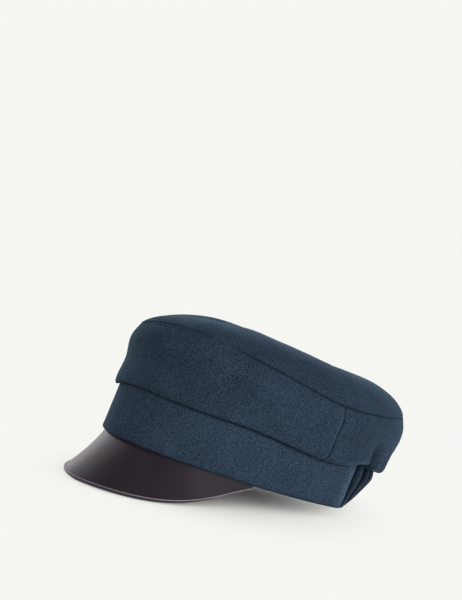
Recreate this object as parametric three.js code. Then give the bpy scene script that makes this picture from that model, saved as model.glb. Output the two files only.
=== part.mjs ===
// Baker boy cap: a wool crown and band, an elastic-gathered back and a leather peak.
// Millimetres, +Z up. The peak points along -Y and the wearer's left is +X.
// Each piece is worked out in the worn cap's frame, where the rim of the band is the plane z = 0.
// Angles run round the head in degrees, from 0 at the middle of the peak to 180 at the back.
// The whole cap is then tipped back, as it rests on a table on its peak and the back of its rim.

import * as THREE from "three";
import { mergeVertices } from "three/addons/utils/BufferGeometryUtils.js";

const { DEG2RAD, clamp, lerp, smoothstep } = THREE.MathUtils;

// Head oval, measured over the outside of the band
const HALF_WIDTH = 84;
const HALF_LENGTH = 101.5;

// Thicknesses and the gap between pieces that are sewn together
const CLOTH = 2;
const BAND_CLOTH = 3;
const LEATHER = 2.4;
const GAP = 0.3;
const BAND_GAP = 0.5;

// Crown wall, a row every 30 degrees round the head. The distances stand out from the head oval.
// The lip overhangs the band, and the wall runs up past the shoulder to the seam of the top panel.
// Rounding lifts the top panel between that seam and its middle.
// The soft wall sits a little lower on the wearer's right, past 270 degrees.
const WALL_ROWS = [
  { angle: 0, bandTop: 36.3, lip: 2.8, wall: -0.4, shoulder: 1.7, seam: -5.5, seamHeight: 82.0, rounding: 2.0 },
  { angle: 30, bandTop: 35.3, lip: 2.8, wall: 0.1, shoulder: 1.6, seam: -5.1, seamHeight: 83.1, rounding: 3.3 },
  { angle: 60, bandTop: 34.2, lip: 2.9, wall: 2.4, shoulder: 2.9, seam: -1.9, seamHeight: 76.2, rounding: 1.7 },
  { angle: 90, bandTop: 29.0, lip: 4.1, wall: 5.4, shoulder: 5.8, seam: 3.2, seamHeight: 67.6, rounding: 0.0 },
  { angle: 120, bandTop: 31.5, lip: 7.4, wall: 8.8, shoulder: 10.4, seam: 7.6, seamHeight: 69.0, rounding: -2.6 },
  { angle: 150, bandTop: 28.8, lip: 5.6, wall: 9.5, shoulder: 9.6, seam: 6.5, seamHeight: 72.5, rounding: -3.1 },
  { angle: 180, bandTop: 28.8, lip: 5.0, wall: 9.5, shoulder: 9.6, seam: 6.5, seamHeight: 74.0, rounding: -3.9 },
  { angle: 210, bandTop: 28.8, lip: 5.6, wall: 9.5, shoulder: 9.6, seam: 6.5, seamHeight: 72.5, rounding: -3.8 },
  { angle: 240, bandTop: 31.2, lip: 7.4, wall: 8.8, shoulder: 10.2, seam: 7.4, seamHeight: 69.0, rounding: -2.5 },
  { angle: 270, bandTop: 29.4, lip: 4.1, wall: 5.4, shoulder: 5.8, seam: 2.6, seamHeight: 67.2, rounding: 0.0 },
  { angle: 300, bandTop: 31.6, lip: 3.4, wall: 2.2, shoulder: 2.9, seam: -1.4, seamHeight: 72.6, rounding: 3.0 },
  { angle: 330, bandTop: 32.7, lip: 2.6, wall: 0.8, shoulder: 2.1, seam: -1.7, seamHeight: 75.9, rounding: -1.3 },
];
const ROW_STEP = 30;
const LIP_LEVEL = 0.1;
const WALL_LEVEL = 0.42;
const SHOULDER_LEVEL = 0.77;
const SIDE_SEAM_ANGLE = 89.5;
const SEAM_GAP_ANGLE = 0.2;

// The wall's lower edge is turned in over the band, and the lip's underside rises from the seam
const SEAM_TURN = -0.3;
const UNDERSIDE_OUT = 0.85;
const UNDERSIDE_RISE = 0.8;
const TURN_RISE = 6;

// Gathers in the back wall: each is a valley that fades out on its way up to the top seam
const GATHER_AT_SEAM = 0.3;
const GATHER_START = 0.2;
const GATHERS = [
  { angle: 115.5, depth: 3.8, width: 2.8, reach: 0.6 },
  { angle: 127, depth: 1.8, width: 2.6, reach: 0.45 },
  { angle: 136.5, depth: 3.0, width: 3.0, reach: 0.6 },
  { angle: 147, depth: 2.0, width: 2.6, reach: 0.42 },
  { angle: 158, depth: 3.1, width: 3.0, reach: 0.6 },
  { angle: 169, depth: 1.8, width: 2.6, reach: 0.45 },
  { angle: 180.5, depth: 3.0, width: 3.0, reach: 0.6 },
  { angle: 192, depth: 2.0, width: 2.6, reach: 0.42 },
  { angle: 202.5, depth: 3.1, width: 3.0, reach: 0.6 },
  { angle: 213.5, depth: 1.8, width: 2.6, reach: 0.45 },
  { angle: 223.5, depth: 3.0, width: 3.0, reach: 0.58 },
  { angle: 233.5, depth: 1.9, width: 2.6, reach: 0.45 },
  { angle: 244.5, depth: 3.8, width: 2.8, reach: 0.6 },
];

// Top panel: a dome over the seam
const DOME_HEIGHT = 92.6;
const DOME_ROUNDNESS = 5.2;
const DOME_SOFTNESS = 1.56;

// Band: its bottom edge is rolled, and it leans out a little towards the rim
const BAND_FLARE = 1.3;
const BAND_TOP_LEAN = 1.3;
const ROLL = 2.2;
const ROLL_DEPTH = 0.8;
const BAND_HEIGHT = 33;

// Elastic: from the fold on each side backwards it draws the rim in and pleats the band
const FOLD_ANGLE_AT_RIM = 110.6;
const FOLD_ANGLE_AT_TOP = 116.5;
const ELASTIC_PULL = 16.5;
const ELASTIC_ONSET = 16;
const ELASTIC_FADE = 2.2;
const PLEATS = 17;
const PLEAT_DEPTH = 2.4;
const PLEAT_ROUNDNESS = 0.8;
const FOLD_GAP_ANGLE = 0.25;

// Peak: a curved strip of leather, longest in the middle and steeper towards its ends
const PEAK_END_ANGLE = 63;
const PEAK_LENGTH = 42.5;
const PEAK_FULLNESS = 1.58;
const PEAK_TIP_LENGTH = 6.5;
const PEAK_SLOPE = 50.2;
const PEAK_SIDE_SLOPE = 61;
const PEAK_CURL = 13;
const PEAK_ROOT = -1.2;

// Rest: the cap leans back on the peak and the rim, and is pressed flat this much where it touches
const PITCH = 9.55;
const PRESSED = 1;

// Facets, and the distance under which two corners are one
const TINY = 1e-4;
const WALL_STEPS = 10;
const CROWN_FRONT_STEPS = 40;
const CROWN_BACK_STEPS = 60;
const TOP_STEPS = 60;
const DOME_STEPS = 9;
const FRONT_STEPS = 48;
const BAND_STEPS = 6;
const STEPS_PER_PLEAT = 5;
const PEAK_STEPS = 32;
const PEAK_RUNGS = 6;

const wool = new THREE.MeshStandardMaterial({ color: 0x35475a, roughness: 0.95, metalness: 0 });
const woolShade = new THREE.MeshStandardMaterial({ color: 0x2d3d4e, roughness: 0.95, metalness: 0 });
const leather = new THREE.MeshStandardMaterial({ color: 0x2c252c, roughness: 0.4, metalness: 0 });

function headPoint(angle, out, height) {
  const side = Math.sin(angle * DEG2RAD);
  const front = Math.cos(angle * DEG2RAD);
  const normal = new THREE.Vector2(HALF_LENGTH * side, -HALF_WIDTH * front).normalize();
  return new THREE.Vector3(
    HALF_WIDTH * side + out * normal.x,
    -HALF_LENGTH * front + out * normal.y,
    height,
  );
}

function anglePastFront(angle) {
  return Math.abs(((angle + 180) % 360) - 180);
}

// A smooth value of one column of the wall's table at any angle round the head
function wallValue(column, angle) {
  const place = (angle + 360) / ROW_STEP;
  const row = Math.floor(place);
  const points = [-1, 0, 1, 2].map((step) => (
    new THREE.Vector2(step, WALL_ROWS[(row + step) % WALL_ROWS.length][column])
  ));
  return new THREE.SplineCurve(points).getPoint((1 + place - row) / 3).y;
}

// A closed shell between two surfaces, given as functions of u round the head and v across it
function shellGeometry(outer, inner, uSteps, vSteps, closed) {
  const positions = [];
  const addTriangle = (a, b, c) => {
    const collapsed = a.distanceTo(b) < TINY || b.distanceTo(c) < TINY || c.distanceTo(a) < TINY;
    if (!collapsed) {
      positions.push(...a, ...b, ...c);
    }
  };
  const addQuad = (a, b, c, d) => {
    addTriangle(a, b, c);
    addTriangle(a, c, d);
  };
  const columns = closed ? uSteps : uSteps + 1;
  const sample = (surface) => Array.from({ length: columns }, (_, i) => (
    Array.from({ length: vSteps + 1 }, (_, j) => surface(i / uSteps, j / vSteps))
  ));
  const outside = sample(outer);
  const inside = sample(inner);
  for (let i = 0; i < uSteps; i += 1) {
    const next = (i + 1) % columns;
    for (let j = 0; j < vSteps; j += 1) {
      addQuad(outside[i][j], outside[next][j], outside[next][j + 1], outside[i][j + 1]);
      addQuad(inside[i][j], inside[i][j + 1], inside[next][j + 1], inside[next][j]);
    }
    addQuad(inside[i][0], inside[next][0], outside[next][0], outside[i][0]);
    addQuad(outside[i][vSteps], outside[next][vSteps], inside[next][vSteps], inside[i][vSteps]);
  }
  if (!closed) {
    for (let j = 0; j < vSteps; j += 1) {
      addQuad(inside[0][j], outside[0][j], outside[0][j + 1], inside[0][j + 1]);
      addQuad(outside[uSteps][j], inside[uSteps][j], inside[uSteps][j + 1], outside[uSteps][j + 1]);
    }
  }
  const geometry = new THREE.BufferGeometry();
  geometry.setAttribute("position", new THREE.Float32BufferAttribute(positions, 3));
  return mergeVertices(geometry);
}

// The valleys are shallow at the seam, where the wall is sewn to the band, and deepest just above it
function gatherDepth(angle, v) {
  let depth = 0;
  for (const gather of GATHERS) {
    const across = Math.exp(-(((angle - gather.angle) / gather.width) ** 2));
    depth += gather.depth * across * (1 - smoothstep(v, GATHER_START, gather.reach));
  }
  return depth * lerp(GATHER_AT_SEAM, 1, smoothstep(v, 0, GATHER_START));
}

// Section of the crown wall at one angle, with out as x and height as z
function wallSection(angle) {
  const value = (column) => wallValue(column, angle);
  const base = value("bandTop");
  const rise = value("seamHeight") - base;
  const keys = [
    [SEAM_TURN, base],
    [UNDERSIDE_OUT * value("lip"), base + UNDERSIDE_RISE],
    [value("lip"), base + LIP_LEVEL * rise],
    [value("wall"), base + WALL_LEVEL * rise],
    [value("shoulder"), base + SHOULDER_LEVEL * rise],
    [value("seam"), base + rise],
  ];
  return new THREE.CatmullRomCurve3(keys.map(([out, height]) => new THREE.Vector3(out, 0, height)));
}

function crownWall(startAngle, endAngle, uSteps) {
  const angleAt = (u) => lerp(startAngle, endAngle, u);
  const outer = (u, v) => {
    const angle = angleAt(u);
    const point = wallSection(angle).getPoint(v);
    return headPoint(angle, point.x - gatherDepth(angle, v), point.z);
  };
  const inner = (u, v) => {
    const angle = angleAt(u);
    const section = wallSection(angle);
    const point = section.getPoint(v);
    const along = section.getTangent(v);
    const freed = smoothstep(v, 0, 0.5);
    const out = lerp(SEAM_TURN - 2 * CLOTH, point.x - CLOTH * along.z, freed);
    const lowest = wallValue("bandTop", angle) + v * TURN_RISE;
    const height = Math.max(point.z + CLOTH * along.x * freed, lowest);
    return headPoint(angle, out - gatherDepth(angle, v), height);
  };
  return shellGeometry(outer, inner, uSteps, WALL_STEPS, false);
}

function crownTop() {
  const dome = (u, v, depth) => {
    const angle = 360 * u;
    const lift = v * Math.PI / 2;
    const reach = v < 1 ? Math.cos(lift) ** (2 / DOME_ROUNDNESS) : 0;
    const rimOut = wallValue("seam", angle) - depth * Math.cos(lift);
    const rimHeight = wallValue("seamHeight", angle) + GAP;
    const point = headPoint(angle, rimOut, rimHeight);
    point.x *= reach;
    point.y *= reach;
    const climb = Math.sin(lift) ** DOME_SOFTNESS;
    point.z += (DOME_HEIGHT - rimHeight) * climb - depth * Math.sin(lift);
    point.z += 4 * reach * (1 - reach) * wallValue("rounding", angle);
    return point;
  };
  const outer = (u, v) => dome(u, v, 0);
  const inner = (u, v) => dome(u, v, CLOTH);
  return shellGeometry(outer, inner, TOP_STEPS, DOME_STEPS, true);
}

function bandLine(height) {
  return lerp(BAND_FLARE, -BAND_TOP_LEAN, height / BAND_HEIGHT);
}

// How far the band's outside stands from the head oval, before the elastic draws it in
function bandOut(height) {
  const rolled = ROLL_DEPTH * (1 - Math.min(height / ROLL, 1)) ** 2;
  return bandLine(height) - rolled;
}

function elasticPull(angle, height, foldAngle) {
  const past = Math.max(anglePastFront(angle) - foldAngle, 0);
  const fade = clamp(1 - height / BAND_HEIGHT, 0, 1) ** ELASTIC_FADE;
  return ELASTIC_PULL * (1 - Math.exp(-past / ELASTIC_ONSET)) * fade;
}

// v runs up the band, in smaller steps near its rolled rim
function bandHeight(angle, v) {
  return v * v * (wallValue("bandTop", angle) - BAND_GAP);
}

function foldAngle(v) {
  return lerp(FOLD_ANGLE_AT_RIM, FOLD_ANGLE_AT_TOP, v * v);
}

function bandFront() {
  const place = (u, v) => {
    const angle = lerp(-foldAngle(v), foldAngle(v), u);
    return { angle, height: bandHeight(angle, v) };
  };
  const outer = (u, v) => {
    const { angle, height } = place(u, v);
    return headPoint(angle, bandOut(height), height);
  };
  const inner = (u, v) => {
    const { angle, height } = place(u, v);
    return headPoint(angle, bandLine(height) - BAND_CLOTH, height);
  };
  return shellGeometry(outer, inner, FRONT_STEPS, BAND_STEPS, false);
}

function bandBack() {
  const place = (u, v) => {
    const start = foldAngle(v) + FOLD_GAP_ANGLE;
    const angle = lerp(start, 360 - start, u);
    const height = bandHeight(angle, v);
    return { angle, height, pull: elasticPull(angle, height, start) };
  };
  const outer = (u, v) => {
    const { angle, height, pull } = place(u, v);
    const valley = 1 - Math.abs(Math.sin(Math.PI * PLEATS * u)) ** PLEAT_ROUNDNESS;
    return headPoint(angle, bandOut(height) - pull - PLEAT_DEPTH * valley, height);
  };
  const inner = (u, v) => {
    const { angle, height, pull } = place(u, v);
    return headPoint(angle, bandLine(height) - pull - PLEAT_DEPTH - CLOTH, height);
  };
  return shellGeometry(outer, inner, PLEATS * STEPS_PER_PLEAT, BAND_STEPS, false);
}

// The leather's section is an arc that starts steep under the band and flattens towards its edge
function peak() {
  const surface = (depth) => (u, v) => {
    const across = Math.sin(lerp(-Math.PI / 2, Math.PI / 2, u));
    const length = lerp(PEAK_LENGTH, PEAK_TIP_LENGTH, Math.abs(across) ** PEAK_FULLNESS);
    const curl = PEAK_CURL * DEG2RAD;
    const rootSlope = (PEAK_SLOPE + PEAK_SIDE_SLOPE * across ** 2) * DEG2RAD + curl / 2;
    const slope = rootSlope - curl * (1 - v);
    const out = length * (Math.sin(rootSlope) - Math.sin(slope)) / curl;
    const drop = length * (Math.cos(slope) - Math.cos(rootSlope)) / curl;
    return headPoint(
      PEAK_END_ANGLE * across,
      PEAK_ROOT + out - depth * Math.sin(slope),
      -GAP - Math.max(drop + depth * Math.cos(slope), 0),
    );
  };
  return shellGeometry(surface(0), surface(LEATHER), PEAK_STEPS, PEAK_RUNGS, false);
}

function lowestAlong(geometry, up) {
  const position = geometry.attributes.position;
  const point = new THREE.Vector3();
  let lowest = Infinity;
  for (let i = 0; i < position.count; i += 1) {
    lowest = Math.min(lowest, point.fromBufferAttribute(position, i).dot(up));
  }
  return lowest;
}

// Where the cap rests, cloth and leather are pressed flat onto the table
function pressFlat(geometry, up, tableHeight) {
  const position = geometry.attributes.position;
  const point = new THREE.Vector3();
  for (let i = 0; i < position.count; i += 1) {
    point.fromBufferAttribute(position, i);
    const below = Math.max(tableHeight - point.dot(up), 0);
    position.setXYZ(i, ...point.addScaledVector(up, below));
  }
}

function mesh(name, geometry, material) {
  const piece = new THREE.Mesh(geometry, material);
  piece.name = name;
  return piece;
}

const backStart = SIDE_SEAM_ANGLE + SEAM_GAP_ANGLE;
const worn = new THREE.Group();
worn.add(mesh("crown_top", crownTop(), wool));
worn.add(mesh("crown_front", crownWall(-SIDE_SEAM_ANGLE, SIDE_SEAM_ANGLE, CROWN_FRONT_STEPS), wool));
worn.add(mesh("crown_back", crownWall(backStart, 360 - backStart, CROWN_BACK_STEPS), wool));
worn.add(mesh("band_front", bandFront(), wool));
worn.add(mesh("band_back", bandBack(), woolShade));
worn.add(mesh("peak", peak(), leather));

// The table's upward direction, seen from the worn cap's frame
const tableUp = new THREE.Vector3(0, -Math.sin(PITCH * DEG2RAD), Math.cos(PITCH * DEG2RAD));
const geometries = worn.children.map((piece) => piece.geometry);
const lowest = Math.min(...geometries.map((geometry) => lowestAlong(geometry, tableUp)));
for (const geometry of geometries) {
  pressFlat(geometry, tableUp, lowest + PRESSED);
  geometry.computeVertexNormals();
}
worn.rotation.x = -PITCH * DEG2RAD;

// The origin is on the table, under the middle of the cap's box
const box = new THREE.Box3().setFromObject(worn, true);
const middle = box.getCenter(new THREE.Vector3());
worn.position.set(-middle.x, -middle.y, -box.min.z);

const cap = new THREE.Group();
cap.add(worn);

export default cap;
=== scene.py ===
import math

import bmesh
import bpy
import numpy as np
from mathutils import Matrix, Vector, noise


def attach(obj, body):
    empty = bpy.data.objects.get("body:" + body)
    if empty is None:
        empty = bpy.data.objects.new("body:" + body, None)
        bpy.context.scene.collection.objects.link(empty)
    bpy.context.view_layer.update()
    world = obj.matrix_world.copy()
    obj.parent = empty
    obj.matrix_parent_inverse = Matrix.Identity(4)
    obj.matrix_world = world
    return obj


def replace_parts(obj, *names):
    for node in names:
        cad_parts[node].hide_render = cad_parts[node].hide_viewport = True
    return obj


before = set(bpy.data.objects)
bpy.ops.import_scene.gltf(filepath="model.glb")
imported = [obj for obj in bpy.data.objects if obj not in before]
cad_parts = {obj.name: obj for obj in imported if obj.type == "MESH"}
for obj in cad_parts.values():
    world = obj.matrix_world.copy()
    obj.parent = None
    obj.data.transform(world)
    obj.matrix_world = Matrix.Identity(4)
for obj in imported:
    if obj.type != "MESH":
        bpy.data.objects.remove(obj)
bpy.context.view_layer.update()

# Shapes are worked out in millimetres in the worn cap's frame, where the rim of the band is z = 0,
# the peak points along -Y and angles run round the head from 0 at the peak to 180 at the back.
MM = 0.001

# Head oval over the outside of the band, and the thicknesses of cloth and leather
HALF_WIDTH = 84.0
HALF_LENGTH = 101.5
CLOTH = 2.0
BAND_CLOTH = 3.0
LEATHER = 2.4

# The cap rests tipped back by this much, moved so that the origin is under the middle of its box
PITCH = 9.55
REST_SHIFT = (0.02, 5.51, 13.21)

# Crown wall, a row every 30 degrees round the head. The distances stand out from the head oval,
# and rounding lifts the top panel between its seam and its middle.
ROW_STEP = 30.0
COLUMNS = ("band_top", "lip", "wall", "shoulder", "seam", "seam_height", "rounding")
WALL_ROWS = np.array([
    (36.3, 2.8, -0.4, 1.7, -5.5, 82.0, 2.0),
    (35.3, 2.8, 0.1, 1.6, -5.1, 83.1, 3.3),
    (34.2, 2.9, 2.4, 2.9, -1.9, 76.2, 1.7),
    (29.0, 4.1, 5.4, 5.8, 3.2, 67.6, 0.0),
    (31.5, 7.4, 8.8, 10.4, 7.6, 69.0, -2.6),
    (28.8, 5.6, 9.5, 9.6, 6.5, 72.5, -3.1),
    (28.8, 5.0, 9.5, 9.6, 6.5, 74.0, -3.9),
    (28.8, 5.6, 9.5, 9.6, 6.5, 72.5, -3.8),
    (31.2, 7.4, 8.8, 10.2, 7.4, 69.0, -2.5),
    (29.4, 4.1, 5.4, 5.8, 2.6, 67.2, 0.0),
    (31.6, 3.4, 2.2, 2.9, -1.4, 72.6, 3.0),
    (32.7, 2.6, 0.8, 2.1, -1.7, 75.9, -1.3),
])

# The wall's lower edge is turned in over the band. The underside and the corner of its lip stand out
# by a share of the lip and rise from the band in millimetres, and a level is a share of the wall's rise.
SEAM_TURN = -1.2
UNDERSIDE_OUT = 0.5
UNDERSIDE_RISE = 0.3
LIP_CORNER_OUT = 0.9
LIP_CORNER_RISE = 2.0
LIP_LEVEL = 0.12
WALL_LEVEL = 0.42
SHOULDER_LEVEL = 0.77

# From the first gather on, the wall billows: its lip stands out further and is rounded more
BILLOW_FROM = (115.5, 120.0)
BILLOW_OUT = 1.2
BILLOW_UNDERSIDE_OUT = -0.2
BILLOW_CORNER_OUT = -0.16
BILLOW_LIP_LEVEL = 0.1

# The lip droops over the band at the billow and at the brow, and its underside and the lip itself
# by a share of that
DROOP = 2.2
BROW_DROOP = 1.9
BROW_FROM = (296, 312)
BROW_TO = (335, 352)
UNDERSIDE_DROOP = 0.9
LIP_DROOP = 0.4

# The wall is drawn up on both sides of the first gather
DRAWN_UP_ANGLE = 111.5
DRAWN_UP = 2.0
DRAWN_UP_WIDTH = 6.0

# Side seams between the front and the back wall: the angle round the head at a level up the wall
SEAM_LEVELS = (0.0, 0.04, 0.18, 0.34, 0.50, 0.73, 1.0)
SEAM_ANGLES = (85.0, 86.2, 88.2, 89.5, 90.2, 90.5, 91.0)

# A row of stitches follows each side seam in front of it, along a line of painted shade. SIDE_RADIUS
# is how far the wall runs there for a radian round the head.
STITCH_OFFSET = 2.3
STITCH_PITCH = 2.0
STITCH_LENGTH = 1.15
STITCH_RADIUS = 0.36
STITCH_BLUNTNESS = 0.02
STITCH_SHADE = 2.8
STITCH_LINE_SHADE = 0.12
STITCH_LINE_SHADE_WIDTH = 0.5
STITCH_LEVELS = (0.03, 0.975)
STITCH_LINE_STEPS = 400
STITCH_LINE_START = 0.4
STITCH_RINGS = 7
STITCH_SIDES = 8
SIDE_RADIUS = HALF_LENGTH * 0.93

# Gathers in the back wall: a valley each, steep towards the front and easy towards the back.
# Each row: place and depth, width before and behind it, reach up the wall, and lean in degrees.
GATHERS = np.array([
    (115.5, 4.8, 1.5, 3.6, 0.62, -3.0),
    (127.0, 2.0, 1.8, 3.0, 0.45, -1.0),
    (136.5, 3.4, 1.8, 3.4, 0.60, 2.0),
    (147.0, 2.2, 1.6, 2.8, 0.42, -1.5),
    (158.0, 3.6, 2.0, 3.4, 0.62, 1.5),
    (169.0, 2.0, 2.2, 2.4, 0.45, -1.0),
    (180.5, 3.4, 2.6, 2.8, 0.60, 1.0),
    (192.0, 2.2, 2.4, 2.2, 0.42, 1.5),
    (202.5, 3.5, 3.2, 2.0, 0.60, -1.5),
    (213.5, 2.0, 2.8, 1.8, 0.45, 1.5),
    (223.5, 3.4, 3.4, 1.8, 0.58, -2.0),
    (233.5, 2.1, 3.0, 1.8, 0.45, 1.0),
    (244.5, 4.8, 3.6, 1.5, 0.62, 3.0),
])

# A valley spreads on its way up and fades from a level to its reach. Only a share of its depth is left
# at the band and on the turned edge inside.
GATHER_SPREAD = 1.2
GATHER_FADE_FROM = 0.12
GATHER_AT_BAND = 0.35
GATHER_INSIDE = 0.3

# The cloth in front of a valley rolls over it
ROLL_OVER = 0.3
ROLL_PLACE = 2.0
ROLL_WIDTH = 1.8

# The band holds the wall less and less up to SEATED_TO. The wall's inner face starts as the turned edge,
# which rises by TURNED_EDGE_RISE, and is free of it from FREED_AT on.
SEATED_TO = 0.12
FREED_AT = 0.45
TURNED_EDGE_RISE = 6

# A pressed line below the top seam at the front
PRESSED_LINE_BELOW = 2.6
PRESSED_LINE_DEPTH = 0.4
PRESSED_LINE_WIDTH = 0.55
PRESSED_LINE_ENDS = ((-16.0, -8.0), (13.0, 21.0))

# Seams: the cloth rolls down into a narrow ditch on both sides of the sewn line, its edges overlap
# there, and inside it follows a share of the ditch
SEAM_ROLL = 1.3
SEAM_DITCH = 0.9
SEAM_OVERLAP = 0.35
SEAM_INSIDE = 0.2
SIDE_SEAM_ROLL = 1.0
SIDE_SEAM_DITCH = 0.6

# The cloth closes over the top seam between these angles from the front, and its line is thin up to
# the temples
SEAM_CLOSED = 0.7
SEAM_CLOSED_FROM = (24, 31)
SEAM_CLOSED_TO = (40, 48)
SEAM_THIN_TO = (24, 44)

# The shade of the mesh multiplies the wool's colour. At seams and edges, in valleys and under the lip
# it is this much darker, and the fades are the millimetres over which that ends.
SHADE_RANGE = (0.05, 3)
TOP_SEAM_SHADE = 0.75
TOP_SEAM_THIN_SHADE = 0.25
TOP_SEAM_FADE = 0.6
SIDE_SEAM_SHADE = 0.65
SIDE_SEAM_FADE = 0.45
VALLEY_SHADE = 0.13
VALLEY_SHADE_DEPTH = 4.5
LIP_SHADE = 0.85
LIP_SHADE_HEIGHTS = (0.1, 1.0)
BAND_TOP_SHADE = 0.6
BAND_TOP_FADE = 0.7
RIM_SHADE = 0.8
RIM_FADE = 0.8

# The elastic back is painted in shade: dark, with a painted highlight on the crests of its pleats, and
# darkest at the top
PLEAT_SHADE = 0.2
PLEAT_CREST_SHADE = 0.5
PLEAT_CREST_SHARPNESS = 5
PLEAT_TOP_SHADE = 0.15
PLEAT_TOP_FADE = 4

# Behind the side seam the lip catches the light, up to the first gather
LIT_LIP_FROM = (92, 104)
LIT_LIP_TO = (111, 114)
LIT_LIP_SHADE = 0.5
LIT_LIP_GAIN = 0.35
LIT_LIP_HEIGHT = 2.4
LIT_LIP_WIDTH = 1.3

# The turned ends of the front band catch the light as well
LIT_END_GAIN = 0.85
LIT_END_REACH = (2, 15)

# Soft lumps in the cloth. Each layer: height, size of its lumps in millimetres, and seed.
# The lumps fade out towards seams and edges.
WALL_LUMPS = ((0.5, 34.0, 20), (0.22, 13.0, 21))
WALL_LUMPS_LEVELS = (0.02, 0.3)
WALL_LUMPS_FADE = 12
TOP_LUMPS = ((0.7, 42.0, 3), (0.2, 15.0, 4))
TOP_LUMPS_FADE = 14
BAND_LUMPS = ((0.35, 30.0, 7), (0.15, 11.0, 8))
ELASTIC_LUMPS = ((0.25, 9.0, 11),)
BAND_LUMPS_FADE = 6
SEED_STEPS = (17.3, 5.1, 9.7)

# Top panel
DOME_HEIGHT = 92.6
DOME_ROUNDNESS = 5.2
DOME_SOFTNESS = 1.56

# Band
BAND_FLARE = 1.3
BAND_TOP_LEAN = 1.3
BAND_HEIGHT = 33.0
BAND_TOP_GAP = 0.3
RIM_ROLL = 2.0
RIM_ROLL_DEPTH = 1.3
RIM_ROLL_INSIDE = 0.6
BAND_END_ROLL = 5.0
BAND_END_DEPTH = 3.2
FOLD_ANGLE_AT_RIM = 109.0
FOLD_ANGLE_AT_TOP = 114.6
FOLD_GAP_ANGLE = 0.1

# Elastic back of the band: it is drawn in most at the rim, pleated, and pouched under the wall.
# The pleats differ in depth by a wave over their numbers.
ELASTIC_PULL = 16.5
ELASTIC_ONSET = 16.0
ELASTIC_FADE = 2.2
POUCH = 1.6
POUCH_HEIGHT = 23.0
POUCH_WIDTH = 6.0
POUCH_FROM = (2, 9)
PLEATS = 17
PLEAT_DEPTH = 3.4
PLEAT_ROUNDNESS = 0.7
PLEAT_INSIDE = 1.2
PLEAT_EVENNESS = 0.75
PLEAT_WAVE = 0.35
PLEAT_WAVE_STEP = 2.4
PLEAT_WAVE_START = 0.5

# Peak
PEAK_END_ANGLE = 65.0
PEAK_LENGTH = 42.7
PEAK_FULLNESS = 1.61
PEAK_TIP_LENGTH = 3.4
PEAK_SLOPE = 49.8
PEAK_SIDE_SLOPE = 68.0
PEAK_CURL = 8.0
PEAK_SIDE_CURL = 12.0
PEAK_ROOT = -1.5
PEAK_ROOT_BELOW = 0.15
EDGE_RADIUS = 1.3
EDGE_THINNEST = 0.2
EDGE_STEP = 0.6
EDGE_STEP_WIDTH = 0.8
# The painted highlight along the edge's binding is this wide
EDGE_HIGHLIGHT_WIDTH = 0.32

# Columns round the head and rows up of each piece, and how unevenly they are spread: by easing them
# finer towards both ends, or by a power or a cubic part that makes them finer at the first row
STEPS_PER_PLEAT = 18
CROWN_TOP_GRID = (360, 90)
CROWN_FRONT_GRID = (360, 110)
CROWN_BACK_GRID = (480, 96)
BAND_FRONT_GRID = (340, 44)
BAND_BACK_GRID = (PLEATS * STEPS_PER_PLEAT + 1, 34)
PEAK_GRID = (220, 80)
WALL_COLUMN_EASE = 0.35
WALL_ROW_EASE = 0.55
BAND_COLUMN_EASE = 0.45
ROW_POWER = 1.5
PEAK_EVEN_ROWS = 0.3
PEAK_CUBIC_ROWS = 0.7

# Limits: metres within which corners merge, degrees up to which edges are smooth, and the least values
# to divide by
MERGE_WITHIN = 1e-7
SMOOTH_UP_TO = 60
LEAST_SPACING = 1e-6
LEAST_NORMAL = 1e-9

# Wool. A noise is its scale, detail and roughness, and fibres are a stretch and a turn of the noise.
# A sheen is its weight, roughness and tint, and a bump its distance and strength.
CROWN_COLOR = (0.0132, 0.0218, 0.035)
BAND_COLOR = (0.0148, 0.0243, 0.0388)
FLECK_NOISE = (1150.0, 2.0, 0.75)
GRAIN_NOISE = (2300.0, 2.0, 0.6)
FIBRE_NOISE = (1.0, 2.0, 0.5)
FIBRES_ALONG_X = ((350, 2600, 2600), (0.3, 0.5, 0.9))
FIBRES_ALONG_Y = ((2600, 420, 2600), (0.8, 0.2, 0.5))
WOOL_PATCH_NOISE = (45.0, 2.0, 0.5)
FLECK_SHARE = 1.2
TEXTURE_SHARE = 0.3125
DARK_FLECK = 0.16
LIGHT_FLECK = 1.94
FLECKS_FROM = 0.41
FLECKS_TO = 0.63
WOOL_PATCH_TONES = ((0.3, (0.84, 0.85, 0.87)), (0.7, (1.04, 1.04, 1.04)))
WOOL_SPECULAR = 0.05
WOOL_SHEEN = (0.13, 0.3, (0.4, 0.62, 0.9, 1))
WOOL_BUMP = (0.0006, 0.8)

# Leather
LEATHER_PATCH_NOISE = (60.0, 3.0, 0.5)
LEATHER_TONES = ((0.3, (0.0104, 0.0072, 0.011)), (0.7, (0.0122, 0.0086, 0.013)))
# Colour of the painted highlight along the peak's bound edge
EDGE_HIGHLIGHT_COLOR = (0.16, 0.135, 0.16, 1)
PORE_SCALE = 1100.0
PORE_BUMP = (0.00004, 0.3)
LEATHER_ROUGHNESS = (0.3, 0.38)
LEATHER_SPECULAR = 0.3
LEATHER_SHEEN = (0.14, 0.3, (0.9, 0.45, 1.0, 1))

# Camera, fitted to the photograph: where it looks, in millimetres, and how it is turned
LOOK_AT = (-26.1, -5.6, 127.4)
CAMERA_AZIMUTH = 52.22
CAMERA_ELEVATION = 5.55
CAMERA_ROLL = 11.0
CAMERA_DISTANCE = 1200.0
SENSOR_HEIGHT = 36.0
LENS = 102.4

# Floor, in metres: paper round the cap, which glows like the backdrop outside an ellipse.
# GLOW_FROM and GLOW_TO are shares of the ellipse's half axes, GLOW_REACH.
BACKDROP = (0.913, 0.921, 0.880)
FLOOR_REACH = 30.0
FLOOR_BELOW = 0.0002
FLOOR_SHARE = 0.95
GLOW_CENTRE = (0.02, -0.024, 0.0)
GLOW_REACH = (0.095, 0.114, 1.0)
GLOW_FROM = 0.25
GLOW_TO = 1.3

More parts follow.
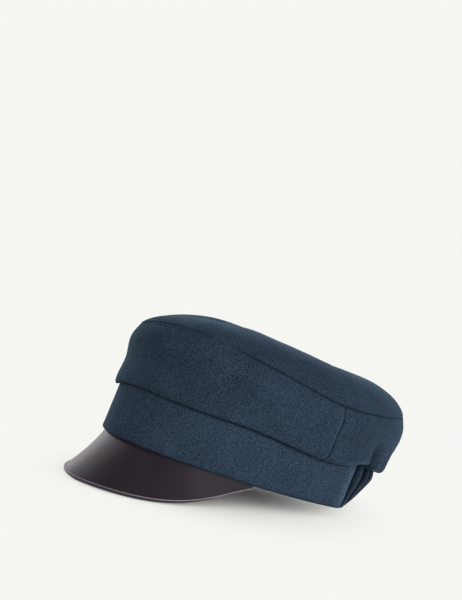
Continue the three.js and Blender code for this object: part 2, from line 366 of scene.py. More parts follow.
# Surroundings: as bright as the backdrop up to an elevation, then dimmer
WHITE_UP_TO = 14.0
DIM_FROM = 26.0
OVERHEAD = 0.17

# Soft lamps, mostly on the camera's right and two weak ones on its left.
# Each: name, azimuth, elevation, strength, angle, and whether it shows in glossy surfaces.
LAMPS = (
    ("key", 52, 25, 2.4, 40, False),
    ("side", 92, 12, 2.9, 40, False),
    ("rear", 140, 15, 1.6, 40, False),
    ("left", 272, 21, 0.4, 48, True),
    ("left fill", 285, 24, 0.85, 60, False),
)


def head_point(angle, out, height):
    # A point that stands out from the head oval, at an angle round it
    side = np.sin(np.radians(angle))
    front = np.cos(np.radians(angle))
    normal_x = HALF_LENGTH * side
    normal_y = -HALF_WIDTH * front
    size = np.hypot(normal_x, normal_y)
    x = HALF_WIDTH * side + out * normal_x / size
    y = -HALF_LENGTH * front + out * normal_y / size
    return np.stack(np.broadcast_arrays(x, y, height), -1)


def wall_value(column, angle):
    # A column of the wall's rows at any angle, on a plain Catmull-Rom curve that runs right round
    values = WALL_ROWS[:, COLUMNS.index(column)]
    place = angle / ROW_STEP
    row = np.floor(place).astype(int)
    t = place - row
    before, first, second, after = (values[(row + step) % len(values)] for step in (-1, 0, 1, 2))
    slope_1 = (second - before) / 2
    slope_2 = (after - first) / 2
    cubic = 2 * first - 2 * second + slope_1 + slope_2
    square = -3 * first + 3 * second - 2 * slope_1 - slope_2
    return cubic * t**3 + square * t**2 + slope_1 * t + first


def smooth_line(keys, t):
    # A centripetal Catmull-Rom curve, so knots are spaced by the square root of the distance between
    # keys. keys is (count, ..., 2) and t runs from 0 to 1.
    last = len(keys) - 1
    place = np.clip(t, 0, 1) * last
    first = np.minimum(place.astype(int), last - 1)
    weight = (place - first)[..., None]
    padded = np.concatenate([2 * keys[:1] - keys[1:2], keys, 2 * keys[-1:] - keys[-2:-1]])

    def pick(step):
        index = np.broadcast_to((first + 1 + step)[None, ..., None], (1, *first.shape, 2))
        return np.take_along_axis(padded, index, 0)[0]

    def spacing(a, b):
        return np.maximum(((a - b) ** 2).sum(-1, keepdims=True) ** 0.25, LEAST_SPACING)

    a, b, c, d = pick(-1), pick(0), pick(1), pick(2)
    ab, bc, cd = spacing(a, b), spacing(b, c), spacing(c, d)
    start = ((b - a) / ab - (c - a) / (ab + bc) + (c - b) / bc) * bc
    end = ((c - b) / bc - (d - b) / (bc + cd) + (d - c) / cd) * bc
    square = -3 * b + 3 * c - 2 * start - end
    return b + start * weight + square * weight**2 + (2 * b - 2 * c + start + end) * weight**3


def smoothstep(value, low, high):
    t = np.clip((value - low) / (high - low), 0, 1)
    return t * t * (3 - 2 * t)


def bell(value, place, width):
    return np.exp(-(((value - place) / width) ** 2))


def normals(points, wrap=False):
    # Outward normals of a grid whose first axis runs round the head and second axis runs up
    if wrap:
        around = np.roll(points, -1, 0) - np.roll(points, 1, 0)
    else:
        around = np.gradient(points, axis=0)
    up = np.gradient(points, axis=1)
    cross = np.cross(around, up)
    return cross / np.maximum(np.linalg.norm(cross, axis=-1, keepdims=True), LEAST_NORMAL)


def run_length(points, axis):
    # How far each point of a grid is along an axis from its start
    step = np.linalg.norm(np.diff(points, axis=axis), axis=-1)
    total = np.cumsum(step, axis)
    pad = [(0, 0), (0, 0)]
    pad[axis] = (1, 0)
    return np.pad(total, pad)


def lumps(points, layers):
    # Smooth noise, added up over its layers
    total = np.zeros(points.shape[:-1])
    for height, size, seed in layers:
        offset = Vector([seed * step for step in SEED_STEPS])
        flat = [noise.noise(Vector(point) / size + offset) for point in points.reshape(-1, 3)]
        total += height * np.array(flat).reshape(total.shape)
    return total


def seam_dip(distance, roll=SEAM_ROLL, ditch=SEAM_DITCH):
    # How deep the cloth lies at a distance from a sewn line
    near = np.clip(1 - distance / roll, 0, 1)
    return ditch * (1 - np.sqrt(1 - near**2))


def eased(count, ease):
    # Steps from 0 to 1 that are finer towards both ends
    t = np.linspace(0, 1, count)
    return (1 - ease) * t + ease * (1 - np.cos(math.pi * t)) / 2


def past_front(angle):
    # How far round from the front an angle from 0 to 360 is, on either side. Angles below 0 stay
    # below 0, so the front wall and front band leave out such forms on the wearer's right.
    return 180 - np.abs(angle - 180)


def band_top(angle):
    drawn = bell(past_front(angle), DRAWN_UP_ANGLE, DRAWN_UP_WIDTH)
    return wall_value("band_top", angle) + DRAWN_UP * drawn


def wall_section(angle, v):
    base = band_top(angle)
    rise = wall_value("seam_height", angle) - base
    billow = smoothstep(past_front(angle), *BILLOW_FROM)
    lip = wall_value("lip", angle) + BILLOW_OUT * billow
    brow = smoothstep(angle % 360, *BROW_FROM) * (1 - smoothstep(angle % 360, *BROW_TO))
    droop = DROOP * billow + BROW_DROOP * brow
    underside_out = (UNDERSIDE_OUT + BILLOW_UNDERSIDE_OUT * billow) * lip
    corner_out = (LIP_CORNER_OUT + BILLOW_CORNER_OUT * billow) * lip
    lip_rise = (LIP_LEVEL + BILLOW_LIP_LEVEL * billow) * rise
    keys = (
        (SEAM_TURN + 0 * base, base),
        (underside_out, base + UNDERSIDE_RISE - UNDERSIDE_DROOP * droop),
        (corner_out, base + LIP_CORNER_RISE - droop),
        (lip, base + lip_rise - LIP_DROOP * droop),
        (wall_value("wall", angle), base + WALL_LEVEL * rise),
        (wall_value("shoulder", angle), base + SHOULDER_LEVEL * rise),
        (wall_value("seam", angle), base + rise),
    )
    keys = np.stack([np.stack(key, -1) for key in keys])
    return smooth_line(keys, np.broadcast_to(v, angle.shape))


def gather_form(angle, level):
    # How deep the valleys are, and how far the cloth rolls over them, in degrees round the head.
    # level is the height above the band as a part of the wall's rise.
    depth = np.zeros(np.broadcast(angle, level).shape)
    roll = np.zeros(depth.shape)
    for place, deep, front, back, reach, lean in GATHERS:
        side = 1 if place < 180 else -1
        across = angle - place - lean * level / reach
        width = np.where(across < 0, front, back) * (1 + GATHER_SPREAD * level / reach)
        fade = 1 - smoothstep(level, GATHER_FADE_FROM, reach)
        depth += deep * bell(across, 0, width) * fade
        roll += side * ROLL_OVER * deep * bell(across, -side * ROLL_PLACE, ROLL_WIDTH) * fade
    return depth, roll


def left_seam(v):
    return np.interp(v, SEAM_LEVELS, SEAM_ANGLES)


def right_seam(v):
    return -left_seam(v)


def right_seam_from_behind(v):
    return 360 - left_seam(v)


def pressed_line(angle, to_top):
    start, end = PRESSED_LINE_ENDS
    window = smoothstep(angle, *start) * (1 - smoothstep(angle, *end))
    return PRESSED_LINE_DEPTH * window * bell(to_top, PRESSED_LINE_BELOW, PRESSED_LINE_WIDTH)


def top_seam_strength(angle):
    # Between the brow and the temples the cloth closes over the top seam
    place = past_front(angle)
    return 1 - SEAM_CLOSED * smoothstep(place, *SEAM_CLOSED_FROM) * (1 - smoothstep(place, *SEAM_CLOSED_TO))


def top_seam_shade(angle):
    # The sewn line of the top seam is thin at the front and plain from the temples on
    thin = 1 - smoothstep(past_front(angle), *SEAM_THIN_TO)
    return TOP_SEAM_SHADE * top_seam_strength(angle) - TOP_SEAM_THIN_SHADE * thin


def wall_lumps(points, to_top, v):
    kept = smoothstep(v, *WALL_LUMPS_LEVELS)
    return lumps(points, WALL_LUMPS) * kept * smoothstep(to_top, 0, WALL_LUMPS_FADE)


def wall_shade(angle, above, valley, to_top, to_side, stitched):
    # above is the height over the band, and stitched is true where the wall has stitches at its side
    shade = 1 - top_seam_shade(angle) * np.exp(-to_top / TOP_SEAM_FADE)
    shade = shade - SIDE_SEAM_SHADE * np.exp(-to_side / SIDE_SEAM_FADE)
    # Painted shade along the line of stitches
    shade -= STITCH_LINE_SHADE * bell(to_side, STITCH_OFFSET, STITCH_LINE_SHADE_WIDTH) * stitched
    shade *= 1 - VALLEY_SHADE * np.minimum(valley, VALLEY_SHADE_DEPTH)
    lit_lip = smoothstep(past_front(angle), *LIT_LIP_FROM)
    shade *= 1 - (LIP_SHADE - LIT_LIP_SHADE * lit_lip) * (1 - smoothstep(above, *LIP_SHADE_HEIGHTS))
    lit_part = LIT_LIP_GAIN * lit_lip * (1 - smoothstep(past_front(angle), *LIT_LIP_TO))
    return shade * (1 + lit_part * bell(above, LIT_LIP_HEIGHT, LIT_LIP_WIDTH))


def crown_wall(start, end, columns, rows):
    # start and end give the angle of the side seams at a level up the wall
    share, v = np.meshgrid(eased(columns, WALL_COLUMN_EASE), eased(rows, WALL_ROW_EASE), indexing="ij")
    angle = start(v) + (end(v) - start(v)) * share
    section = wall_section(angle, v)
    base = band_top(angle)
    level = (section[..., 1] - base) / (wall_value("seam_height", angle) - base)
    valley, roll = gather_form(angle, np.clip(level, 0, 1))
    seated = smoothstep(v, 0.0, SEATED_TO)
    section[..., 0] -= valley * (GATHER_AT_BAND + (1 - GATHER_AT_BAND) * seated)
    plain = head_point(angle + roll * seated, section[..., 0], section[..., 1])
    out = normals(plain)
    to_top = run_length(plain[:, ::-1], 1)[:, ::-1]
    to_side = np.minimum(run_length(plain, 0), run_length(plain[::-1], 0)[::-1])
    side_dip = seam_dip(to_side, SIDE_SEAM_ROLL, SIDE_SEAM_DITCH)
    dip = seam_dip(to_top) * top_seam_strength(angle) + side_dip + pressed_line(angle, to_top)
    outer = plain + out * (wall_lumps(plain, to_top, v) - dip)[..., None]
    rim_step = plain[:, -1] - plain[:, -2]
    outer[:, -1] += SEAM_OVERLAP * rim_step / np.linalg.norm(rim_step, axis=-1, keepdims=True)
    inner = plain - out * (CLOTH + SEAM_INSIDE * seam_dip(to_top))[..., None]
    low_out = SEAM_TURN - 2 * CLOTH - GATHER_INSIDE * valley
    inner_low = head_point(angle, low_out, base + v * TURNED_EDGE_RISE)
    freed = smoothstep(v, 0.0, FREED_AT)[..., None]
    inner = inner_low * (1 - freed) + inner * freed
    shade = wall_shade(angle, section[..., 1] - base, valley, to_top, to_side, start(v) < 0)
    return outer, inner, shade


def crown_top(columns, rows):
    angle = np.linspace(0, 360, columns, endpoint=False)[:, None]
    v = (np.linspace(0, 1, rows) ** ROW_POWER)[None, :]
    angle, v = np.broadcast_arrays(angle, v)

    def dome(depth):
        lift = v * math.pi / 2
        reach = np.cos(lift) ** (2 / DOME_ROUNDNESS)
        reach[:, -1] = 0
        rim_height = wall_value("seam_height", angle)
        point = head_point(angle, wall_value("seam", angle) - depth * np.cos(lift), rim_height)
        point[..., 0] *= reach
        point[..., 1] *= reach
        climb = np.sin(lift) ** DOME_SOFTNESS
        point[..., 2] += (DOME_HEIGHT - rim_height) * climb - depth * np.sin(lift)
        point[..., 2] += 4 * reach * (1 - reach) * wall_value("rounding", angle)
        return point

    plain = dome(0)
    out = normals(plain, wrap=True)
    out[:, -1] = (0, 0, 1)
    to_seam = run_length(plain, 1)
    dip = seam_dip(to_seam) * top_seam_strength(angle)
    lift = lumps(plain, TOP_LUMPS) * smoothstep(to_seam, 0, TOP_LUMPS_FADE)
    outer = plain + out * (lift - dip)[..., None]
    rim_step = plain[:, 0] - plain[:, 1]
    outer[:, 0] += SEAM_OVERLAP * rim_step / np.linalg.norm(rim_step, axis=-1, keepdims=True)
    return outer, dome(CLOTH), 1 - top_seam_shade(angle) * np.exp(-to_seam / TOP_SEAM_FADE)


def band_line(height):
    return BAND_FLARE - (BAND_FLARE + BAND_TOP_LEAN) * height / BAND_HEIGHT


def rim_dip(height):
    near = np.clip(1 - height / RIM_ROLL, 0, 1)
    return RIM_ROLL_DEPTH * (1 - np.sqrt(1 - near**2))


def fold_angle(v):
    return FOLD_ANGLE_AT_RIM + (FOLD_ANGLE_AT_TOP - FOLD_ANGLE_AT_RIM) * v


def elastic_pull(angle, height, fold):
    past = np.maximum(past_front(angle) - fold, 0)
    fade = np.clip(1 - height / BAND_HEIGHT, 0, 1) ** ELASTIC_FADE
    return ELASTIC_PULL * (1 - np.exp(-past / ELASTIC_ONSET)) * fade


def band_front(columns, rows):
    even_rows = np.linspace(0, 1, rows)
    u, v = np.meshgrid(eased(columns, BAND_COLUMN_EASE), even_rows**ROW_POWER, indexing="ij")
    fold = fold_angle(v)
    angle = -fold + 2 * fold * u
    height = v * (band_top(angle) - BAND_TOP_GAP)
    plain = head_point(angle, band_line(height), height)
    to_end = np.minimum(run_length(plain, 0), run_length(plain[::-1], 0)[::-1])
    to_top = band_top(angle) - height
    lift = lumps(plain, BAND_LUMPS) * smoothstep(height, 0, BAND_LUMPS_FADE)
    turn = seam_dip(to_end, BAND_END_ROLL, BAND_END_DEPTH)
    outer = plain + normals(plain) * (lift - turn - rim_dip(height))[..., None]
    thick = BAND_CLOTH - rim_dip(height) * RIM_ROLL_INSIDE
    inner = head_point(angle, band_line(height) - thick, height)
    shade = 1 - BAND_TOP_SHADE * np.exp(-to_top / BAND_TOP_FADE) - RIM_SHADE * np.exp(-height / RIM_FADE)
    shade *= 1 + LIT_END_GAIN * (1 - smoothstep(to_end, *LIT_END_REACH))
    return outer, inner, shade


def band_back(columns, rows):
    u, v = np.meshgrid(np.linspace(0, 1, columns), np.linspace(0, 1, rows) ** ROW_POWER, indexing="ij")
    start = fold_angle(v) + FOLD_GAP_ANGLE
    angle = start + (360 - 2 * start) * u
    height = v * (band_top(angle) - BAND_TOP_GAP)
    pull = elastic_pull(angle, height, start)
    phase = PLEATS * u
    pleat = np.minimum(np.floor(phase), PLEATS - 1)
    uneven = PLEAT_EVENNESS + PLEAT_WAVE * np.sin(pleat * PLEAT_WAVE_STEP + PLEAT_WAVE_START)
    valley = 1 - np.abs(np.sin(math.pi * phase)) ** PLEAT_ROUNDNESS
    pouch = POUCH * bell(height, POUCH_HEIGHT, POUCH_WIDTH)
    pouch = pouch * smoothstep(past_front(angle) - start, *POUCH_FROM)
    out = band_line(height) - pull - PLEAT_DEPTH * valley * uneven - rim_dip(height) + pouch
    plain = head_point(angle, out, height)
    lift = lumps(plain, ELASTIC_LUMPS) * smoothstep(height, 0, BAND_LUMPS_FADE)
    outer = plain + normals(plain) * lift[..., None]
    inside = band_line(height) - pull - PLEAT_INSIDE * PLEAT_DEPTH - CLOTH
    inner = head_point(angle, inside, height)
    to_top = band_top(angle) - height
    crest = (1 - valley) ** PLEAT_CREST_SHARPNESS
    shade = PLEAT_SHADE + PLEAT_CREST_SHADE * crest - PLEAT_TOP_SHADE * np.exp(-to_top / PLEAT_TOP_FADE)
    return outer, inner, shade


def peak_surface(u, v, depth):
    # An arc that curls down from the band: u runs across it, and v from its edge at 0 to the band at 1
    across = np.sin(math.pi * (u - 0.5))
    length = PEAK_LENGTH + (PEAK_TIP_LENGTH - PEAK_LENGTH) * np.abs(across) ** PEAK_FULLNESS
    curl = np.radians(PEAK_CURL + PEAK_SIDE_CURL * across**2)
    root_slope = np.radians(PEAK_SLOPE + PEAK_SIDE_SLOPE * across**2) + curl / 2
    slope = root_slope - curl * (1 - v)
    out = length * (np.sin(root_slope) - np.sin(slope)) / curl
    drop = length * (np.cos(slope) - np.cos(root_slope)) / curl
    height = -PEAK_ROOT_BELOW - np.maximum(drop + depth * np.cos(slope), 0)
    return head_point(PEAK_END_ANGLE * across, PEAK_ROOT + out - depth * np.sin(slope), height)


def peak(columns, rows):
    # Its edge is bound: the binding stands a step above the leather and is rounded outwards
    t = np.linspace(0, 1, rows)
    rows_up = PEAK_EVEN_ROWS * t + PEAK_CUBIC_ROWS * t**3
    u, v = np.meshgrid(np.linspace(0, 1, columns), rows_up, indexing="ij")
    outer = peak_surface(u, v, 0.0)
    inner = peak_surface(u, v, LEATHER)
    to_edge = run_length(outer, 1)
    middle = (outer + inner) / 2
    round_off = np.clip(1 - to_edge / EDGE_RADIUS, 0, 1)
    squeeze = np.maximum(np.sqrt(1 - round_off**2), EDGE_THINNEST)[..., None]
    away = outer - middle
    away /= np.linalg.norm(away, axis=-1, keepdims=True)
    step = EDGE_STEP * (1 - smoothstep(to_edge, EDGE_RADIUS, EDGE_RADIUS + EDGE_STEP_WIDTH))
    outer = middle + (outer - middle + away * step[..., None]) * squeeze
    inner = middle + (inner - middle) * squeeze
    # The shade above 1 is the painted highlight along the binding
    return outer, inner, 1 + bell(to_edge, EDGE_RADIUS, EDGE_HIGHLIGHT_WIDTH)


def stitches(side):
    # Threads lying along a line in front of the side seam, on the wearer's left for side 1 and right
    # for side -1. Each is a small capsule, sunk into the cloth.
    v = np.linspace(*STITCH_LEVELS, STITCH_LINE_STEPS)
    seam = left_seam(v)
    section = wall_section(seam, v)
    line = head_point(seam - math.degrees(STITCH_OFFSET / SIDE_RADIUS), section[:, 0], section[:, 1])
    run = np.concatenate([[0], np.cumsum(np.linalg.norm(np.diff(line, axis=0), axis=1))])
    lift = wall_lumps(line * (side, 1, 1), run[-1] - run, v)

    def place_at(distance):
        return np.array([np.interp(distance, run, line[:, k]) for k in range(3)])

    ring = np.linspace(0, 2 * math.pi, STITCH_SIDES + 1)
    along, around = np.meshgrid(np.linspace(-1, 1, STITCH_RINGS), ring, indexing="ij")
    radius = STITCH_RADIUS * np.sqrt(np.maximum(1 - along**2, STITCH_BLUNTNESS))
    surfaces = []
    for start in np.arange(STITCH_LINE_START, run[-1] - STITCH_LENGTH, STITCH_PITCH):
        first = place_at(start)
        last = place_at(start + STITCH_LENGTH)
        middle = (first + last) / 2
        length = last - first
        outwards = np.array([middle[0] / HALF_WIDTH**2, middle[1] / HALF_LENGTH**2, 0])
        outwards /= np.linalg.norm(outwards)
        across = np.cross(length, outwards)
        across /= np.linalg.norm(across)
        middle = middle + outwards * np.interp(start, run, lift)
        circle = np.cos(around)[..., None] * across + np.sin(around)[..., None] * outwards
        surface = middle + 0.5 * along[..., None] * length + radius[..., None] * circle
        surface[..., 0] *= side
        surfaces.append(surface)
    return surfaces


def settle(points):
    # From the worn cap's frame in millimetres to the resting frame in metres, flat on the surface
    turn = Matrix.Rotation(math.radians(-PITCH), 3, "X")
    placed = (points @ np.array(turn).T + REST_SHIFT) * MM
    placed[..., 2] = np.maximum(placed[..., 2], 0)
    return placed


def finish_piece(name, points, faces, shades, material, join=True):
    # material is a material and the name of its slot, which is not used
    mesh = bpy.data.meshes.new(name)
    mesh.from_pydata(points.tolist(), [], faces)
    layer = mesh.attributes.new("shade", "FLOAT", "POINT")
    layer.data.foreach_set("value", np.clip(shades, *SHADE_RANGE).astype(np.float32).ravel())
    piece = bpy.data.objects.new(name, mesh)
    bpy.context.scene.collection.objects.link(piece)
    work = bmesh.new()
    work.from_mesh(mesh)
    if join:
        bmesh.ops.remove_doubles(work, verts=work.verts, dist=MERGE_WITHIN)
    bmesh.ops.recalc_face_normals(work, faces=work.faces)
    work.to_mesh(mesh)
    work.free()
    mesh.polygons.foreach_set("use_smooth", [True] * len(mesh.polygons))
    mesh.set_sharp_from_angle(angle=math.radians(SMOOTH_UP_TO))
    mesh.materials.append(material[0])
    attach(piece, "root")
    return piece


def build(name, node, surfaces, material, closed=False):
    # A sheet from its outer and inner grids and the outer one's shade, closed round its rows. It is
    # also closed at both ends, or joined to itself where it runs right round.
    outer, inner, shade = surfaces
    loop = np.concatenate([outer, inner[:, ::-1]], 1)
    shades = np.concatenate([shade, shade[:, ::-1]], 1)
    columns, count = loop.shape[:2]
    points = settle(loop).reshape(-1, 3)
    grid = np.arange(columns * count).reshape(columns, count)
    following = np.roll(grid, -1, 0) if closed else grid[1:]
    here = grid if closed else grid[:-1]
    quads = np.stack([here, following, np.roll(following, -1, 1), np.roll(here, -1, 1)], -1).reshape(-1, 4)
    faces = quads.tolist()
    if not closed:
        for row in (grid[0], grid[-1]):
            for j in range(count // 2 - 1):
                faces.append([int(row[k]) for k in (j, j + 1, count - 2 - j, count - 1 - j)])
    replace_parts(finish_piece(name, points, faces, shades, material), node)


def build_stitches(name, side, material):
    points = []
    faces = []
    for surface in stitches(side):
        rows, columns = surface.shape[:2]
        first = len(points)
        points.extend(settle(surface[:, :-1]).reshape(-1, 3).tolist())
        ring = columns - 1
        for i in range(rows - 1):
            for j in range(ring):
                after = (j + 1) % ring
                faces.append([first + i * ring + j, first + i * ring + after,
                              first + (i + 1) * ring + after, first + (i + 1) * ring + j])
        faces.append([first + j for j in range(ring)])
        faces.append([first + (rows - 1) * ring + j for j in range(ring)][::-1])
    points = np.array(points)
    finish_piece(name, points, faces, np.full(len(points), STITCH_SHADE), material, join=False)


def node_tree(name):
    material = bpy.data.materials.new(name)
    material.use_nodes = True
    nodes = material.node_tree.nodes
    return material, nodes, material.node_tree.links, nodes["Principled BSDF"]


def noise_node(nodes, links, coordinates, scale, detail, roughness, stretch=None):
    texture = nodes.new("ShaderNodeTexNoise")
    texture.inputs["Scale"].default_value = scale
    texture.inputs["Detail"].default_value = detail
    texture.inputs["Roughness"].default_value = roughness
    if stretch:
        mapping = nodes.new("ShaderNodeMapping")
        mapping.inputs["Scale"].default_value = stretch[0]
        mapping.inputs["Rotation"].default_value = stretch[1]
        links.new(coordinates, mapping.inputs["Vector"])
        coordinates = mapping.outputs["Vector"]
    links.new(coordinates, texture.inputs["Vector"])
    return texture.outputs["Fac"]


def ramp_node(nodes, links, value, stops):
    # stops are two pairs of a position and a colour
    ramp = nodes.new("ShaderNodeValToRGB")
    for element, (position, color) in zip(ramp.color_ramp.elements, stops):
        element.position = position
        element.color = (*color, 1)
    links.new(value, ramp.inputs["Fac"])
    return ramp.outputs["Color"]


def math_node(nodes, links, operation, a, b):
    # a and b are sockets or numbers
    node = nodes.new("ShaderNodeMath")
    node.operation = operation
    for socket, value in zip(node.inputs, (a, b)):
        if isinstance(value, (int, float)):
            socket.default_value = value
        else:
            links.new(value, socket)
    return node.outputs["Value"]


def multiply_node(nodes, links, a, b):
    node = nodes.new("ShaderNodeMix")
    node.data_type = "RGBA"
    node.blend_type = "MULTIPLY"
    node.inputs["Factor"].default_value = 1.0
    links.new(a, node.inputs["A"])
    links.new(b, node.inputs["B"])
    return node.outputs["Result"]


def shaded(nodes, links, color):
    # Painted shade: cloth is darker deep in seams, folds and pleats and under edges, painted highlights
    # make it lighter where the lip and the band's ends catch the light, and the stitches' thread is lighter
    attribute = nodes.new("ShaderNodeAttribute")
    attribute.attribute_name = "shade"
    return multiply_node(nodes, links, color, attribute.outputs["Fac"])


def bump_node(nodes, links, height, distance, strength):
    bump = nodes.new("ShaderNodeBump")
    bump.inputs["Distance"].default_value = distance
    bump.inputs["Strength"].default_value = strength
    links.new(height, bump.inputs["Height"])
    return bump.outputs["Normal"]


def set_sheen(shader, specular, sheen):
    shader.inputs["Specular IOR Level"].default_value = specular
    for socket, value in zip(("Sheen Weight", "Sheen Roughness", "Sheen Tint"), sheen):
        shader.inputs[socket].default_value = value


def wool(name, shade):
    # Felted wool: dark and light flecks of about a millimetre, and finer fibres across them
    material, nodes, links, shader = node_tree(name)
    place = nodes.new("ShaderNodeTexCoord").outputs["Object"]
    flecks = noise_node(nodes, links, place, *FLECK_NOISE)
    grain = noise_node(nodes, links, place, *GRAIN_NOISE)
    fibres_x = noise_node(nodes, links, place, *FIBRE_NOISE, FIBRES_ALONG_X)
    fibres_y = noise_node(nodes, links, place, *FIBRE_NOISE, FIBRES_ALONG_Y)
    patches = noise_node(nodes, links, place, *WOOL_PATCH_NOISE)
    fibres = math_node(nodes, links, "MAXIMUM", fibres_x, fibres_y)
    fine = math_node(nodes, links, "ADD", grain, fibres)
    coarse = math_node(nodes, links, "MULTIPLY", flecks, FLECK_SHARE)
    both = math_node(nodes, links, "ADD", fine, coarse)
    texture = math_node(nodes, links, "MULTIPLY", both, TEXTURE_SHARE)
    dark = tuple(DARK_FLECK * part for part in shade)
    light = tuple(LIGHT_FLECK * part for part in shade)
    color = ramp_node(nodes, links, texture, ((FLECKS_FROM, dark), (FLECKS_TO, light)))
    tone = ramp_node(nodes, links, patches, WOOL_PATCH_TONES)
    toned = multiply_node(nodes, links, color, tone)
    links.new(shaded(nodes, links, toned), shader.inputs["Base Color"])
    links.new(bump_node(nodes, links, texture, *WOOL_BUMP), shader.inputs["Normal"])
    shader.inputs["Roughness"].default_value = 1.0
    set_sheen(shader, WOOL_SPECULAR, WOOL_SHEEN)
    return material


def leather(name):
    # Smooth leather with a thin painted highlight along its bound edge, which is where the shade is above 1
    material, nodes, links, shader = node_tree(name)
    place = nodes.new("ShaderNodeTexCoord").outputs["Object"]
    patches = noise_node(nodes, links, place, *LEATHER_PATCH_NOISE)
    color = ramp_node(nodes, links, patches, LEATHER_TONES)
    attribute = nodes.new("ShaderNodeAttribute")
    attribute.attribute_name = "shade"
    # Painted highlight where the shade is above 1
    edge_highlight = math_node(nodes, links, "SUBTRACT", attribute.outputs["Fac"], 1.0)
    line = nodes.new("ShaderNodeMix")
    line.data_type = "RGBA"
    line.inputs["B"].default_value = EDGE_HIGHLIGHT_COLOR
    links.new(edge_highlight, line.inputs["Factor"])
    links.new(color, line.inputs["A"])
    links.new(line.outputs["Result"], shader.inputs["Base Color"])
    pores = nodes.new("ShaderNodeTexVoronoi")
    pores.inputs["Scale"].default_value = PORE_SCALE
    links.new(place, pores.inputs["Vector"])
    links.new(bump_node(nodes, links, pores.outputs["Distance"], *PORE_BUMP), shader.inputs["Normal"])
    rough = nodes.new("ShaderNodeMapRange")
    for socket, value in zip(("To Min", "To Max"), LEATHER_ROUGHNESS):
        rough.inputs[socket].default_value = value
    links.new(patches, rough.inputs["Value"])
    links.new(rough.outputs["Result"], shader.inputs["Roughness"])
    set_sheen(shader, LEATHER_SPECULAR, LEATHER_SHEEN)
    return material


def add_floor():
    # White paper under the cap, which glows as brightly as the backdrop further out
    mesh = bpy.data.meshes.new("floor")
    corners = [(x * FLOOR_REACH, y * FLOOR_REACH, 0) for x, y in ((-1, -1), (1, -1), (1, 1), (-1, 1))]
    mesh.from_pydata(corners, [], [(0, 1, 2, 3)])
    floor = bpy.data.objects.new("floor", mesh)
    floor.location.z = -FLOOR_BELOW
    material, nodes, links, shader = node_tree("floor_paper")
    shader.inputs["Roughness"].default_value = 1.0
    shader.inputs["Specular IOR Level"].default_value = 0.0
    shader.inputs["Emission Color"].default_value = (*BACKDROP, 1)
    mapping = nodes.new("ShaderNodeMapping")
    shift = [-middle / reach for middle, reach in zip(GLOW_CENTRE, GLOW_REACH)]
    mapping.inputs["Location"].default_value = shift
    mapping.inputs["Scale"].default_value = [1 / reach for reach in GLOW_REACH]
    links.new(nodes.new("ShaderNodeTexCoord").outputs["Object"], mapping.inputs["Vector"])
    distance = nodes.new("ShaderNodeVectorMath")
    distance.operation = "LENGTH"
    links.new(mapping.outputs["Vector"], distance.inputs[0])
    glow = nodes.new("ShaderNodeMapRange")
    glow.interpolation_type = "SMOOTHSTEP"
    glow.inputs["From Min"].default_value = GLOW_FROM
    glow.inputs["From Max"].default_value = GLOW_TO
    links.new(distance.outputs["Value"], glow.inputs["Value"])
    links.new(glow.outputs["Result"], shader.inputs["Emission Strength"])
    paper = [FLOOR_SHARE * part for part in BACKDROP]
    stops = ((0.0, paper), (1.0, (0, 0, 0)))
    links.new(ramp_node(nodes, links, glow.outputs["Result"], stops), shader.inputs["Base Color"])
    mesh.materials.append(material)
    bpy.context.scene.collection.objects.link(floor)


def add_sun(name, azimuth, elevation, strength, angle, shines):
    light = bpy.data.lights.new(name, "SUN")
    light.energy = strength
    light.angle = math.radians(angle)
    lamp = bpy.data.objects.new(name, light)
    lamp.rotation_euler = (math.radians(90 - elevation), 0, math.radians(azimuth))
    lamp.visible_glossy = shines
    bpy.context.scene.collection.objects.link(lamp)


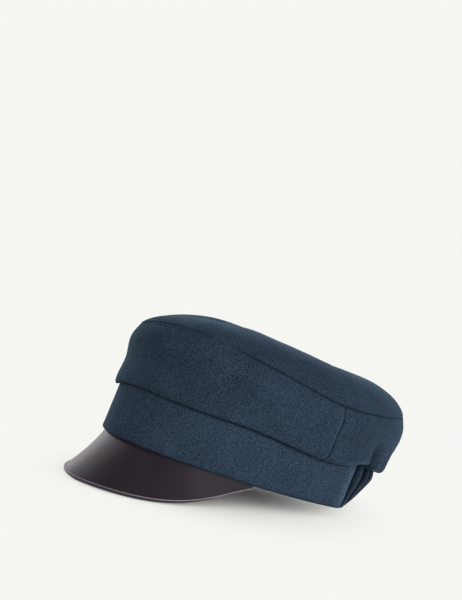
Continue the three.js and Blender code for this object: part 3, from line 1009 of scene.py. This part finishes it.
def add_camera():
    azimuth, elevation, roll = (math.radians(x) for x in (CAMERA_AZIMUTH, CAMERA_ELEVATION, CAMERA_ROLL))
    back = Vector((
        math.sin(azimuth) * math.cos(elevation),
        -math.cos(azimuth) * math.cos(elevation),
        math.sin(elevation),
    ))
    right = Vector((math.cos(azimuth), math.sin(azimuth), 0))
    up = back.cross(right)
    turned_right = math.cos(roll) * right + math.sin(roll) * up
    turned_up = -math.sin(roll) * right + math.cos(roll) * up
    data = bpy.data.cameras.new("camera")
    data.sensor_fit = "VERTICAL"
    data.sensor_height = SENSOR_HEIGHT
    data.lens = LENS
    camera = bpy.data.objects.new("camera", data)
    bpy.context.scene.collection.objects.link(camera)
    place = (Vector(LOOK_AT) + CAMERA_DISTANCE * back) * MM
    turn = Matrix((turned_right, turned_up, back)).transposed().to_4x4()
    camera.matrix_world = Matrix.Translation(place) @ turn
    bpy.context.scene.camera = camera


def light_scene():
    # White round the horizon like the floor, and dimmer overhead
    world = bpy.data.worlds.new("studio")
    world.use_nodes = True
    nodes = world.node_tree.nodes
    links = world.node_tree.links
    nodes["Background"].inputs["Color"].default_value = (*BACKDROP, 1)
    split = nodes.new("ShaderNodeSeparateXYZ")
    links.new(nodes.new("ShaderNodeTexCoord").outputs["Generated"], split.inputs["Vector"])
    fade = nodes.new("ShaderNodeMapRange")
    fade.interpolation_type = "SMOOTHSTEP"
    fade.inputs["From Min"].default_value = math.sin(math.radians(WHITE_UP_TO))
    fade.inputs["From Max"].default_value = math.sin(math.radians(DIM_FROM))
    fade.inputs["To Min"].default_value = 1.0
    fade.inputs["To Max"].default_value = OVERHEAD
    links.new(split.outputs["Z"], fade.inputs["Value"])
    links.new(fade.outputs["Result"], nodes["Background"].inputs["Strength"])
    bpy.context.scene.world = world
    for row in LAMPS:
        add_sun(*row)
    bpy.context.scene.view_settings.view_transform = "Standard"


add_camera()
crown_wool = (wool("crown_wool", CROWN_COLOR), "crown_wool")
band_wool = (wool("band_wool", BAND_COLOR), "band_wool")
peak_leather = (leather("peak_leather"), "peak_leather")
front_wall = crown_wall(right_seam, left_seam, *CROWN_FRONT_GRID)
back_wall = crown_wall(left_seam, right_seam_from_behind, *CROWN_BACK_GRID)
build("cap_crown_top", "crown_top", crown_top(*CROWN_TOP_GRID), crown_wool, closed=True)
build("cap_crown_front", "crown_front", front_wall, crown_wool)
build("cap_crown_back", "crown_back", back_wall, crown_wool)
build("cap_band_front", "band_front", band_front(*BAND_FRONT_GRID), band_wool)
build("cap_band_back", "band_back", band_back(*BAND_BACK_GRID), band_wool)
build("cap_peak", "peak", peak(*PEAK_GRID), peak_leather)
build_stitches("cap_stitches_left", 1, crown_wool)
build_stitches("cap_stitches_right", -1, crown_wool)
light_scene()
add_floor()
